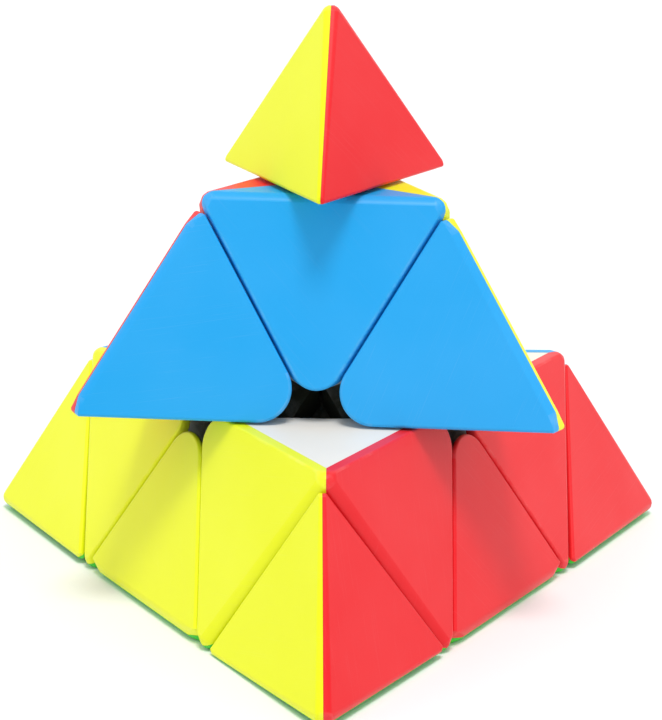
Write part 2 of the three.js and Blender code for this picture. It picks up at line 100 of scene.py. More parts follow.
STEM_END = 27.4
STEM_RADIUS = 3.7
STEM_CHAMFER = 0.15
ROOT_DEPTH = 0.6  # the stem widens over this depth under the tip
ROOT_FLARE = 0.5
STEM_BORE = 2.4
LIP_RADIUS = 4.3
LIP_TOP = 29.3
LIP_THICKNESS = 0.9
SLOT_WIDTH = 1.1
SLOT_TOP = 33.5
WELL_RADIUS = 4.7
LEDGE_LEVEL = 29.6
NECK_BORE_RADIUS = 4
SOCKET_RADIUS = 16.25
HUB_START = 10.9
HUB_RADIUS = 5.2
BEARING_RADIUS = 3.7
FLOOR_START = 12.8
FLOOR_END = 15
SCREW_HOLE_RADIUS = 1.6
FOOT_INNER_RADIUS = 11
FOOT_OUTER_RADIUS = 15.75
FOOT_LEVEL = 2.2
FOOT_PLAY = 0.15
NECK_HALF_WIDTH = 6.4
NECK_TOP = 20
CORE_RADIUS = 10.5
ARM_RADIUS = 3.4
ARM_END = 12.5
ARM_CHAMFER = 0.3
SCREW_START = 4
SCREW_PLAY = 0.1
SCREW_RADIUS = 1.3
SCREW_HEAD_RADIUS = 3.5
SCREW_HEAD_START = 21
SCREW_HEAD_END = 23.2
HEAD_DOME = ((0, 1), (0.25, 0.5), (0.8, 0.15), (1.6, 0))  # inset from the rim, depth under the top
COLLAR_DEPTH = 0.6  # the collar under the screw's head, which its shank runs into
COLLAR_INSET = 0.1
SHANK_GAP = 0.2
POINT_SHARE = 0.35  # of the screw's radius, at its end
POINT_TAPER = 0.6  # how much of the radius is added in each millimetre from there
RECESS_LENGTH = 3.6
RECESS_WIDTH = 0.8
RECESS_DEPTH = 1.2
THREAD_END = 13
THREAD_PITCH = 0.8
THREAD_DEPTH = 0.3
THREAD_STEPS = 24
THREAD_RINGS = 8  # in each turn of the thread
SPRING_RADIUS = 2.7
SPRING_PLAY = 0.1
SPRING_TURNS = 4
SPRING_STEPS = 40  # in each turn
SPRING_SQUEEZE = 0.11  # how much closer the end turns lie
WIRE_RADIUS = 0.35
WIRE_STEPS = 10

FILLET_STEPS = 6
PATCH_STEPS = 8
CENTRE_STEPS = 16
ROUND_STEPS = 64
ARM_STEPS = 48
HOLE_STEPS = 32
BALL_STEPS = 96
REACH = 100.0  # further than any point of the puzzle

# Points closer than these are joined: in a hull, in a turned or combined solid, on a cutting plane.
HULL_WELD = 0.002
SOLID_WELD = 1e-4
PLANE_WELD = 1e-5
# Faces that meet at less than these are joined, in a hull and in a combined solid.
HULL_FLAT = math.radians(0.4)
SOLID_FLAT = math.radians(0.3)
BEVELLED_ABOVE = math.radians(40)

# ---------------------------------------------------------------- directions

LOW_SPREAD = math.sqrt(8) / 3
ALONG = math.sqrt(2 / 3)
UP = math.sqrt(1 / 3)
LEVEL_SHARE = 0.75  # three dimensions for four axes
THIRD_TURN = 120
Z = Vector((0, 0, 1))


def low_corner(azimuth):
    angle = math.radians(azimuth)
    return Vector((LOW_SPREAD * math.cos(angle), LOW_SPREAD * math.sin(angle), -1 / 3))


CORNERS = {"top": Z, "front": low_corner(270), "right": low_corner(30), "left": low_corner(150)}
FACE_COLOURS = {"top": "green", "front": "blue", "right": "yellow", "left": "red"}

CORNER_AXES = list(CORNERS.values())
EDGE_AXES = [
    Vector((ALONG, 0, UP)),
    Vector((-ALONG, 0, UP)),
    Vector((0, ALONG, -UP)),
    Vector((0, -ALONG, -UP)),
]


def point_at(axes, *levels):
    """The point with these levels along the axes. One of them may be None."""
    rest = -sum(level for level in levels if level is not None)
    full = [rest if level is None else level for level in levels]
    return sum((LEVEL_SHARE * level * axis for level, axis in zip(full, axes)), Vector())


# ---------------------------------------------------------------- rounded solids


def corner_arc(previous, corner, following, radius, steps):
    """Points on a rounded corner of a flat outline, each with its outward direction."""
    back = (previous - corner).normalized()
    ahead = (following - corner).normalized()
    half_angle = back.angle(ahead) / 2
    inward = (back + ahead).normalized()
    centre = corner + inward * radius / math.sin(half_angle)
    axis = ahead.cross(back).normalized()
    span = math.pi - 2 * half_angle
    for step in range(steps + 1):
        outward = Quaternion(axis, span * (step / steps - 0.5)) @ -inward
        yield centre + outward * radius, outward


def rim_arc(point, face, wall):
    """Points on the round from a face to a wall, about a point inside."""
    for step in range(FILLET_STEPS + 1):
        yield point + face.slerp(wall, step / FILLET_STEPS) * FILLET


def centre_rim(face, previous, corner, following, radius, slant):
    """The round along the rim where six pieces meet in the middle of a face. slant is the cosine
    between the outward directions of the face and of the side walls."""
    across = math.sqrt(1 - slant * slant)
    for point, outward in corner_arc(previous, corner, following, radius - FILLET, CENTRE_STEPS):
        yield from rim_arc(point, face, outward * across + face * slant)


def ball_patch(centre, radius, normals):
    """Points on a ball between the outward directions of three planes that it touches."""
    for i in range(PATCH_STEPS + 1):
        for j in range(PATCH_STEPS + 1 - i):
            shares = (i, j, PATCH_STEPS - i - j)
            outward = sum((n * share for n, share in zip(normals, shares)), Vector()).normalized()
            yield centre + outward * radius


# The slants of the side walls of an edge piece and of an axial piece, for centre_rim.
TETRAHEDRAL = -1 / 3
OCTAHEDRAL = 1 / 3


def groove_end(face_level, edge_radius):
    """The level where a groove's round ends and the wider round along an edge begins."""
    return face_level + (4 * edge_radius - FILLET) / 3


# Levels of the rounds' middles along the far corner of the face beside them.
NEAR_FACE = FACE_LEVEL + FILLET
NEAR_EDGE = groove_end(FACE_LEVEL, EDGE_RADIUS)
ON_EDGE = FACE_LEVEL + EDGE_RADIUS


def hull(points):
    """The convex hull of points, with its flat faces joined, as a bmesh."""
    solid = bmesh.new()
    for point in points:
        solid.verts.new(point)
    bmesh.ops.remove_doubles(solid, verts=solid.verts, dist=HULL_WELD)
    made = bmesh.ops.convex_hull(solid, input=solid.verts)
    loose = made["geom_interior"] + made["geom_unused"]
    inside = {item for item in loose if isinstance(item, bmesh.types.BMVert)}
    bmesh.ops.delete(solid, geom=list(inside), context="VERTS")
    bmesh.ops.dissolve_limit(solid, angle_limit=HULL_FLAT, verts=solid.verts, edges=solid.edges)
    bmesh.ops.recalc_face_normals(solid, faces=solid.faces)
    return solid


def trim(solid, direction, level):
    """Cuts away what lies beyond a level along a direction."""
    everything = solid.verts[:] + solid.edges[:] + solid.faces[:]
    made = bmesh.ops.bisect_plane(
        solid,
        geom=everything,
        dist=PLANE_WELD,
        plane_co=direction * level,
        plane_no=direction,
        clear_outer=True,
    )
    rim = [item for item in made["geom_cut"] if isinstance(item, bmesh.types.BMEdge)]
    if rim:
        bmesh.ops.edgeloop_fill(solid, edges=rim)
    bmesh.ops.recalc_face_normals(solid, faces=solid.faces)
    return solid


def soften(solid, width=SEAM_BEVEL):
    """Breaks the sharp edges."""
    sharp = [edge for edge in solid.edges if edge.calc_face_angle(0) > BEVELLED_ABOVE]
    bmesh.ops.bevel(
        solid, geom=sharp, offset=width, segments=2, profile=0.5, affect="EDGES", clamp_overlap=True
    )
    return solid


def turned(profile, steps=ROUND_STEPS):
    """A solid of revolution about Z from (radius, level) pairs that start and end on the axis."""
    solid = bmesh.new()
    verts = [solid.verts.new((radius, 0, level)) for radius, level in profile]
    edges = [solid.edges.new(pair) for pair in zip(verts, verts[1:])]
    bmesh.ops.spin(
        solid,
        geom=verts + edges,
        cent=(0, 0, 0),
        axis=Z,
        angle=2 * math.pi,
        steps=steps,
        use_merge=True,
    )
    bmesh.ops.remove_doubles(solid, verts=solid.verts, dist=SOLID_WELD)
    bmesh.ops.recalc_face_normals(solid, faces=solid.faces)
    return solid


def rod(radius, start, end, steps=ROUND_STEPS):
    """A round rod along Z."""
    return turned([(0, start), (radius, start), (radius, end), (0, end)], steps)


def ball(radius):
    solid = bmesh.new()
    bmesh.ops.create_uvsphere(
        solid, u_segments=BALL_STEPS, v_segments=BALL_STEPS // 2, radius=radius
    )
    return solid


def block(low, high):
    """A box between two corners."""
    solid = bmesh.new()
    bmesh.ops.create_cube(solid, size=1)
    size = [b - a for a, b in zip(low, high)]
    bmesh.ops.scale(solid, verts=solid.verts, vec=size)
    bmesh.ops.translate(solid, verts=solid.verts, vec=[(a + b) / 2 for a, b in zip(low, high)])
    return solid


def aimed(solid, axis):
    """Turns a solid from +Z to an axis."""
    turn = Z.rotation_difference(axis).to_matrix()
    bmesh.ops.transform(solid, matrix=turn.to_4x4(), verts=solid.verts)
    return solid


def thing(solid):
    """A temporary object that holds a bmesh."""
    mesh = bpy.data.meshes.new("work")
    solid.to_mesh(mesh)
    solid.free()
    made = bpy.data.objects.new("work", mesh)
    scene.collection.objects.link(made)
    return made


def combine(first, second, operation):
    """Joins, cuts or intersects two bmeshes and returns the result as a bmesh."""
    target, tool = thing(first), thing(second)
    modifier = target.modifiers.new("combine", "BOOLEAN")
    modifier.operation = operation
    modifier.solver = "EXACT"
    modifier.object = tool
    result = bmesh.new()
    result.from_object(target, bpy.context.evaluated_depsgraph_get())
    for made in (target, tool):
        mesh = made.data
        bpy.data.objects.remove(made)
        bpy.data.meshes.remove(mesh)
    bmesh.ops.remove_doubles(result, verts=result.verts, dist=SOLID_WELD)
    bmesh.ops.dissolve_limit(result, angle_limit=SOLID_FLAT, verts=result.verts, edges=result.edges)
    if not result.faces:
        raise ValueError(f"nothing is left of a solid after {operation}")
    return result


# ---------------------------------------------------------------- hulls of the three kinds of piece


def corner_point(k, own, *others):
    """A point of a corner piece from its own level and the three neighbours' from the k-th on."""
    levels = [own, 0, 0, 0]
    for step, level in enumerate(others):
        levels[1 + (k + step) % 3] = level
    return point_at(CORNER_AXES, *levels)


def neighbours(k):
    """Axes of the k-th neighbour and of the two after it."""
    return [CORNER_AXES[1 + (k + step) % 3] for step in range(3)]


def tip_hull():
    base = TIP_BASE + FILLET
    near_face = TIP_FACE_LEVEL + FILLET
    near_edge = groove_end(TIP_FACE_LEVEL, TIP_RADIUS)
    on_edge = TIP_FACE_LEVEL + TIP_RADIUS
    on_apex = TIP_FACE_LEVEL + APEX_RADIUS
    faces = [-axis for axis in CORNER_AXES[1:]]
    apex = corner_point(0, None, on_apex, on_apex, on_apex)
    points = list(ball_patch(apex, APEX_RADIUS, faces))
    for k in range(3):
        axis, second, third = neighbours(k)
        corner = corner_point(k, TIP_BASE + TIP_RADIUS, None, on_edge, on_edge)
        points += ball_patch(corner, TIP_RADIUS, (-second, -third, -Z))
        points += rim_arc(corner_point(k, base, near_face, None, near_edge), -axis, -Z)
        points += rim_arc(corner_point(k, base, near_face, near_edge, None), -axis, -Z)
    return hull(points)


def axial_hull():
    side = AXIAL_SIDE - FILLET
    on_rim = FACE_LEVEL + RIM_RADIUS
    points = []
    for k in range(3):
        axis, second, third = neighbours(k)
        centre = corner_point(k, None, NEAR_FACE, side, side)
        left = corner_point(k, None, NEAR_FACE, side, NEAR_EDGE)
        right = corner_point(k, None, NEAR_FACE, NEAR_EDGE, side)
        points += centre_rim(-axis, right, centre, left, AXIAL_CENTRE_RADIUS, OCTAHEDRAL)
        points += rim_arc(left, -axis, second)
        points += rim_arc(right, -axis, third)
        upper = corner_point(k, AXIAL_TOP - RIM_RADIUS, None, on_rim, on_rim)
        lower = corner_point(k, None, AXIAL_SIDE - EDGE_RADIUS, ON_EDGE, ON_EDGE)
        points += ball_patch(upper, RIM_RADIUS, (-second, -third, Z))
        points += ball_patch(lower, EDGE_RADIUS, (-second, -third, axis))
    return hull(points)


def edge_hull():
    plus, minus, back, front = EDGE_AXES
    side = EDGE_SIDE + FILLET
    points = []
    for face, place in (
        (-front, lambda own, other, near: point_at(EDGE_AXES, own, other, near, NEAR_FACE)),
        (-back, lambda own, other, near: point_at(EDGE_AXES, own, other, NEAR_FACE, near)),
    ):
        centre = place(side, side, None)
        left = place(None, side, NEAR_EDGE)
        right = place(side, None, NEAR_EDGE)
        points += centre_rim(face, left, centre, right, EDGE_CENTRE_RADIUS, TETRAHEDRAL)
        points += rim_arc(left, face, -minus)
        points += rim_arc(right, face, -plus)
    near_side = EDGE_SIDE + EDGE_RADIUS
    for own_levels, wall in (((None, near_side), minus), ((near_side, None), plus)):
        end = point_at(EDGE_AXES, *own_levels, ON_EDGE, ON_EDGE)
        points += ball_patch(end, EDGE_RADIUS, (-back, -front, -wall))
    return hull(points)


# ---------------------------------------------------------------- corner pieces


def sector(solid):
    """Keeps the third of a corner piece over the face opposite its first neighbour."""
    opposite = CORNER_AXES[1]
    for neighbour in CORNER_AXES[2:]:
        seam = Vector((neighbour.y, -neighbour.x, 0)).normalized()
        if seam.dot(opposite) < 0:
            seam.negate()
        trim(solid, seam, -SEAM_PLAY / 2)
    return solid


def above_levels(solid, level):
    """What is left of a corner piece inside a level along its three neighbours."""
    for axis in CORNER_AXES[1:]:
        trim(solid, -axis, -level)
    return solid


def tip_cap():
    solid = sector(tip_hull())
    trim(solid, CORNER_AXES[1], TIP_FACE_LEVEL + CAP_DEPTH)
    return soften(solid)


def tip_body():
    """The tip's inner moulding with its split snap stem."""
    solid = soften(above_levels(tip_hull(), TIP_FACE_LEVEL + CAP_DEPTH + CAP_PLAY))
    root = TIP_BASE + MARGIN
    stem = turned([
        (0, STEM_END),
        (STEM_RADIUS - STEM_CHAMFER, STEM_END),
        (LIP_RADIUS, LIP_TOP - LIP_THICKNESS),
        (LIP_RADIUS, LIP_TOP),
        (STEM_RADIUS, LIP_TOP),
        (STEM_RADIUS, TIP_BASE - ROOT_DEPTH),
        (STEM_RADIUS + ROOT_FLARE, root),
        (0, root),
    ])
    solid = combine(solid, stem, "UNION")
    start = STEM_END - MARGIN
    solid = combine(solid, rod(STEM_BORE, start, SLOT_TOP), "DIFFERENCE")
    half = SLOT_WIDTH / 2
    for x, y in ((2 * STEM_RADIUS, half), (half, 2 * STEM_RADIUS)):
        solid = combine(solid, block((-x, -y, start), (x, y, SLOT_TOP)), "DIFFERENCE")
    return solid


def axial_cap():
    """A shell over one face that wraps over the side under the tip."""
    inside = block((-REACH, -REACH, -REACH), (REACH, REACH, AXIAL_TOP - CAP_DEPTH))
    trim(inside, -CORNER_AXES[1], -(FACE_LEVEL + CAP_DEPTH))
    shell = combine(sector(axial_hull()), inside, "DIFFERENCE")
    return soften(combine(shell, rod(WELL_RADIUS, 0, REACH), "DIFFERENCE"))


def axial_body():
    """The axial's inner moulding: hub, floor, well, ledge and the hollow over the feet."""
    solid = above_levels(axial_hull(), FACE_LEVEL + CAP_DEPTH + CAP_PLAY)
    solid = soften(trim(solid, Z, AXIAL_TOP - CAP_DEPTH - CAP_PLAY))
    solid = combine(solid, ball(SOCKET_RADIUS), "DIFFERENCE")
    solid = combine(solid, rod(HUB_RADIUS, HUB_START, SCREW_HEAD_START), "UNION")
    bore = turned([
        (0, 0),
        (BEARING_RADIUS, 0),
        (BEARING_RADIUS, FLOOR_START),
        (SCREW_HOLE_RADIUS, FLOOR_START),
        (SCREW_HOLE_RADIUS, FLOOR_END),
        (WELL_RADIUS, FLOOR_END),
        (WELL_RADIUS, LEDGE_LEVEL),
        (NECK_BORE_RADIUS, LEDGE_LEVEL),
        (NECK_BORE_RADIUS, REACH),
        (0, REACH),
    ])
    return combine(solid, bore, "DIFFERENCE")


# ---------------------------------------------------------------- edge pieces


def edge_cap():
    solid = edge_hull()
    trim(solid, Vector((0, -1, 0)), -SEAM_PLAY / 2)
    trim(solid, EDGE_AXES[3], FACE_LEVEL + EDGE_CAP_DEPTH)
    return soften(solid)


def edge_body():
    """The edge's inner moulding with its neck and its spherical foot."""
    solid = edge_hull()
    for far in EDGE_AXES[2:]:
        trim(solid, -far, -FACE_LEVEL - EDGE_CAP_DEPTH - CAP_PLAY)
    soften(solid)
    half = (NECK_TOP * UP - EDGE_SIDE) / ALONG
    section = ((0, EDGE_SIDE / UP), (half, NECK_TOP), (-half, NECK_TOP))
    sides = (-NECK_HALF_WIDTH, NECK_HALF_WIDTH)
    neck = hull([Vector((x, y, z)) for x, z in section for y in sides])
    foot = ball(FOOT_OUTER_RADIUS)
    for own in EDGE_AXES[:2]:
        trim(foot, -own, -FOOT_LEVEL - FOOT_PLAY)
    for far in EDGE_AXES[2:]:
        trim(foot, far, FOOT_LEVEL - FOOT_PLAY)
    foot = soften(combine(foot, ball(FOOT_INNER_RADIUS), "DIFFERENCE"), FOOT_BEVEL)
    return combine(combine(solid, neck, "UNION"), foot, "UNION")


# ---------------------------------------------------------------- core, screws and springs


def core():
    """The ball with its four arms and their screw holes."""
    solid = ball(CORE_RADIUS)
    for axis in CORNER_AXES:
        profile = [
            (0, 0),
            (ARM_RADIUS, 0),
            (ARM_RADIUS, ARM_END - ARM_CHAMFER),
            (ARM_RADIUS - ARM_CHAMFER, ARM_END),
            (0, ARM_END),
        ]
        solid = combine(solid, aimed(turned(profile, ARM_STEPS), axis), "UNION")
    for axis in CORNER_AXES:
        hole = rod(SCREW_HOLE_RADIUS, SCREW_START, REACH, HOLE_STEPS)
        solid = combine(solid, aimed(hole, axis), "DIFFERENCE")
    return solid


def screw():
    """A threaded shank under a pan head with a cross recess."""
    rings = []
    level = SCREW_START + SCREW_PLAY
    while level < THREAD_END:
        rings.append(level)
        level += THREAD_PITCH / THREAD_RINGS
    rings += [THREAD_END, SCREW_HEAD_START - SHANK_GAP]
    solid = bmesh.new()
    loops = []
    for level in rings:
        loop = []
        for i in range(THREAD_STEPS):
            angle = 2 * math.pi * i / THREAD_STEPS
            phase = (level / THREAD_PITCH - i / THREAD_STEPS) % 1
            depth = THREAD_DEPTH / 2
            if level < THREAD_END:
                depth = THREAD_DEPTH * abs(2 * phase - 1)
            taper = min(1, POINT_SHARE + (level - SCREW_START) * POINT_TAPER)
            radius = (SCREW_RADIUS - depth) * taper
            place = (radius * math.cos(angle), radius * math.sin(angle), level)
            loop.append(solid.verts.new(place))
        loops.append(loop)
    for low, high in zip(loops, loops[1:]):
        for i in range(THREAD_STEPS):
            j = (i + 1) % THREAD_STEPS
            solid.faces.new((low[i], low[j], high[j], high[i]))
    solid.faces.new(loops[0][::-1])
    solid.faces.new(loops[-1])
    head = turned([
        (0, SCREW_HEAD_START - COLLAR_DEPTH),
        (SCREW_RADIUS - COLLAR_INSET, SCREW_HEAD_START - COLLAR_DEPTH),
        (SCREW_RADIUS - COLLAR_INSET, SCREW_HEAD_START),
        (SCREW_HEAD_RADIUS, SCREW_HEAD_START),
        *((SCREW_HEAD_RADIUS - inset, SCREW_HEAD_END - depth) for inset, depth in HEAD_DOME),
        (0, SCREW_HEAD_END),
    ])
    solid = combine(solid, head, "UNION")
    for x, y in ((RECESS_LENGTH / 2, RECESS_WIDTH / 2), (RECESS_WIDTH / 2, RECESS_LENGTH / 2)):
        bar = block((-x, -y, SCREW_HEAD_END - RECESS_DEPTH), (x, y, SCREW_HEAD_END + MARGIN))
        solid = combine(solid, bar, "DIFFERENCE")
    return solid


def spring():
    """A round wire in a helix, with its end turns pressed close."""
    start = FLOOR_END + WIRE_RADIUS + SPRING_PLAY
    end = SCREW_HEAD_START - WIRE_RADIUS - SPRING_PLAY
    count = SPRING_TURNS * SPRING_STEPS
    solid = bmesh.new()
    loops = []
    for i in range(count + 1):
        share = i / count
        eased = share - SPRING_SQUEEZE * math.sin(2 * math.pi * share)
        angle = 2 * math.pi * SPRING_TURNS * share
        outward = Vector((math.cos(angle), math.sin(angle), 0))
        centre = outward * SPRING_RADIUS + Z * (start + (end - start) * eased)
        loop = []
        for j in range(WIRE_STEPS):
            turn = 2 * math.pi * j / WIRE_STEPS
            aside = outward * math.cos(turn) + Z * math.sin(turn)
            loop.append(solid.verts.new(centre + aside * WIRE_RADIUS))
        loops.append(loop)
    for low, high in zip(loops, loops[1:]):
        for j in range(WIRE_STEPS):
            k = (j + 1) % WIRE_STEPS
            solid.faces.new((low[k], low[j], high[j], high[k]))
    solid.faces.new(loops[0])
    solid.faces.new(loops[-1][::-1])
    bmesh.ops.recalc_face_normals(solid, faces=solid.faces)
    return solid


# ---------------------------------------------------------------- shader nodes


def new_material(name):
    """A material with its node tree and its shader."""
    material = bpy.data.materials.new(name)
    material.use_nodes = True
    return material, material.node_tree, material.node_tree.nodes["Principled BSDF"]


def connect(tree, value, socket):
    """Links an output to a socket, or sets the socket to a constant."""
    if isinstance(value, bpy.types.NodeSocket):
        tree.links.new(value, socket)
    else:
        socket.default_value = value


def noise(tree, place, scale, detail=2, rough=0.5):
    made = tree.nodes.new("ShaderNodeTexNoise")
    made.inputs["Scale"].default_value = scale
    made.inputs["Detail"].default_value = detail
    made.inputs["Roughness"].default_value = rough
    tree.links.new(place, made.inputs["Vector"])
    return made.outputs["Fac"]


def remap(tree, value, low, high, start, end, interpolation="LINEAR"):
    """Takes a value from between start and end to between low and high."""
    made = tree.nodes.new("ShaderNodeMapRange")
    made.interpolation_type = interpolation
    made.inputs["From Min"].default_value = start
    made.inputs["From Max"].default_value = end
    made.inputs["To Min"].default_value = low
    made.inputs["To Max"].default_value = high
    tree.links.new(value, made.inputs["Value"])
    return made.outputs["Result"]


def calculate(tree, operation, *values):
    made = tree.nodes.new("ShaderNodeMath")
    made.operation = operation
    for socket, value in zip(made.inputs, values):
        connect(tree, value, socket)
    return made.outputs[0]


def blend(tree, factor, first, second):
    """A mix of two colours."""
    made = tree.nodes.new("ShaderNodeMix")
    made.data_type = "RGBA"
    connect(tree, first, made.inputs["A"])
    connect(tree, second, made.inputs["B"])
    tree.links.new(factor, made.inputs["Factor"])
    return made.outputs["Result"]


def tinted(tree, value, dark, light):
    """A colour that goes from dark to light with a value."""
    made = tree.nodes.new("ShaderNodeValToRGB")
    made.color_ramp.elements[0].color = dark
    made.color_ramp.elements[1].color = light
    tree.links.new(value, made.inputs["Fac"])
    return made.outputs["Color"]


def bump(tree, height, strength, distance):
    """A bump node, its distance in metres."""
    made = tree.nodes.new("ShaderNodeBump")
    made.inputs["Strength"].default_value = strength
    made.inputs["Distance"].default_value = distance
    tree.links.new(height, made.inputs["Height"])
    return made


# ---------------------------------------------------------------- materials

# Noise patterns on the plastic: scale in 1/m, detail and roughness of the noise.
CLOUDS = (38, 3, 0.55)
# Patches of the painted highlight on the rims, which also stand for wear there.
RIM_WEAR_AND_SHEEN_SPOTS = (260, 4, 0.65)
SMUDGES = (95, 4, 0.6)
ORANGE_PEEL = (1300, 2, 0.5)
NOISE_RANGE = (0.3, 0.7)  # where most values of a noise lie
RIM_WEAR_AND_SHEEN_RANGE = (0.45, 0.75)

PLASTIC_IOR = 1.5
CLOUD_PALE = 0.02  # share of white in the clouds
CLOUD_DEEP = 0.965
# Share of white, and how strongly it is laid on, in the painted rim highlight and in the hairlines.
WEAR_AND_SHEEN_PALE = 0.16
WEAR_AND_SHEEN_STRENGTH = 0.55
WEAR_ROUGHNESS = 0.2
SMOOTHER = 0.03  # how far the roughness goes down and up
ROUGHER = 0.04
PEEL_STRENGTH = 0.025
PEEL_DEPTH = 0.0002
GROOVE_STRENGTH = 0.08
GROOVE_DEPTH = 0.00003

# Three sets of hairlines: angle in degrees, length in millimetres and threshold of the noise.
HAIRLINES = ((23, 14, 0.74), (118, 9, 0.76), (71, 22, 0.75))
HAIRLINE_SCALE = 7  # across the hairlines, in 1/mm
HAIRLINE_EDGE = 0.05
HAIRLINE_SHIFT = 100  # so that no two sets share their noise
HAIRLINE_STRENGTH = 0.5

TURNING_MARKS = (700, 4)  # scale in 1/m and detail
STEEL_DARK = (0.42, 0.43, 0.45, 1)
STEEL_LIGHT = (0.68, 0.69, 0.7, 1)
STEEL_ROUGHNESS = (0.22, 0.42)
MARK_STRENGTH = 0.15
MARK_DEPTH = 0.0001


def plastic(name, colour, roughness=0.33, marks=0.5, gloss=0.25):
    """Moulded plastic: a slight cloudiness in the colour, a satin skin that is unevenly polished,
    the orange peel of the mould, fine hairlines from handling, and rims painted paler in patches:
    a painted highlight along the rounds that also stands for wear."""
    material, tree, shader = new_material(name)
    shader.inputs["Specular IOR Level"].default_value = gloss
    shader.inputs["IOR"].default_value = PLASTIC_IOR
    place = tree.nodes.new("ShaderNodeTexCoord").outputs["Object"]

    def paler(share):
        return tuple(channel + (1 - channel) * share for channel in colour) + (1,)

    def hairlines(angle, length, threshold):
        """Straight scratches across the face."""
        layout = tree.nodes.new("ShaderNodeUVMap")
        layout.uv_map = "face_mm"
        across = tree.nodes.new("ShaderNodeMapping")
        across.inputs["Location"].default_value = (angle, threshold * HAIRLINE_SHIFT, 0)
        across.inputs["Rotation"].default_value = (0, 0, math.radians(angle))
        across.inputs["Scale"].default_value = (1 / length, HAIRLINE_SCALE, 1)
        tree.links.new(layout.outputs["UV"], across.inputs["Vector"])
        made = tree.nodes.new("ShaderNodeTexNoise")
        made.noise_dimensions = "2D"
        made.inputs["Scale"].default_value = 1
        made.inputs["Detail"].default_value = 1
        tree.links.new(across.outputs["Vector"], made.inputs["Vector"])
        return remap(tree, made.outputs["Fac"], 0, 1, threshold, threshold + HAIRLINE_EDGE)

    deep = tuple(channel * CLOUD_DEEP for channel in colour) + (1,)
    clouds = remap(tree, noise(tree, place, *CLOUDS), 0, 1, *NOISE_RANGE)
    cloudy = blend(tree, clouds, deep, paler(CLOUD_PALE))

    # Painted highlight on the rims: their narrow faces are painted paler in patches, which also
    # stands for wear.
    rim = tree.nodes.new("ShaderNodeAttribute")
    rim.attribute_name = "rim"
    spots = remap(tree, noise(tree, place, *RIM_WEAR_AND_SHEEN_SPOTS), 0, 1, *RIM_WEAR_AND_SHEEN_RANGE)
    rim_wear_and_sheen = calculate(tree, "MULTIPLY", rim.outputs["Fac"], spots)
    first, second, third = (hairlines(*pattern) for pattern in HAIRLINES)
    scratches = calculate(tree, "MAXIMUM", calculate(tree, "MAXIMUM", first, second), third)
    scratches = calculate(tree, "MULTIPLY", scratches, HAIRLINE_STRENGTH * marks)
    # The painted rim highlight and the hairlines together make the plastic paler and duller.
    wear_and_sheen_mask = calculate(tree, "MAXIMUM", rim_wear_and_sheen, scratches)
    wear_and_sheen = calculate(tree, "MULTIPLY", wear_and_sheen_mask, WEAR_AND_SHEEN_STRENGTH)
    tree.links.new(blend(tree, wear_and_sheen, cloudy, paler(WEAR_AND_SHEEN_PALE)), shader.inputs["Base Color"])

    limits = (roughness - SMOOTHER, roughness + ROUGHER)
    smudges = remap(tree, noise(tree, place, *SMUDGES), *limits, *NOISE_RANGE)
    dulling = calculate(tree, "MULTIPLY", wear_and_sheen, WEAR_ROUGHNESS)
    tree.links.new(calculate(tree, "ADD", smudges, dulling), shader.inputs["Roughness"])

    peel = bump(tree, noise(tree, place, *ORANGE_PEEL), PEEL_STRENGTH, PEEL_DEPTH)
    groove = bump(tree, scratches, GROOVE_STRENGTH, GROOVE_DEPTH)
    groove.invert = True
    tree.links.new(peel.outputs["Normal"], groove.inputs["Normal"])
    tree.links.new(groove.outputs["Normal"], shader.inputs["Normal"])
    return material


def steel():
    """Plated steel with fine turning marks."""
    material, tree, shader = new_material("plated_steel")
    shader.inputs["Metallic"].default_value = 1.0
    place = tree.nodes.new("ShaderNodeTexCoord").outputs["Object"]
    marks = noise(tree, place, *TURNING_MARKS)
    tree.links.new(tinted(tree, marks, STEEL_DARK, STEEL_LIGHT), shader.inputs["Base Color"])
    tree.links.new(remap(tree, marks, *STEEL_ROUGHNESS, 0, 1), shader.inputs["Roughness"])
    relief = bump(tree, marks, MARK_STRENGTH, MARK_DEPTH)
    tree.links.new(relief.outputs["Normal"], shader.inputs["Normal"])
    return material


MATERIALS = {
    "yellow": plastic("yellow_abs", (0.88, 0.93, 0.006)),
    "red": plastic("red_abs", (0.86, 0.012, 0.019)),
    "blue": plastic("blue_abs", (0.012, 0.385, 0.86)),
    "green": plastic("green_abs", (0.05, 0.66, 0.04)),
    "white": plastic("white_abs", (0.88, 0.84, 0.77), roughness=0.4),
    "black": plastic("black_nylon", (0.007, 0.009, 0.003), roughness=0.6, marks=0.2, gloss=0.03),
    "steel": steel(),
}
SLOTS = {colour: f"{colour}_plastic" for colour in MATERIALS}
SLOTS["steel"] = "steel"

# ---------------------------------------------------------------- assembly

RIM_AREA = 2.5  # square millimetres, the faces of a round are smaller
MAP_STRIDE = 61.7  # so that no two pieces share their marks
SHARP_ABOVE = math.radians(32)
NORMAL_WEIGHT = 90


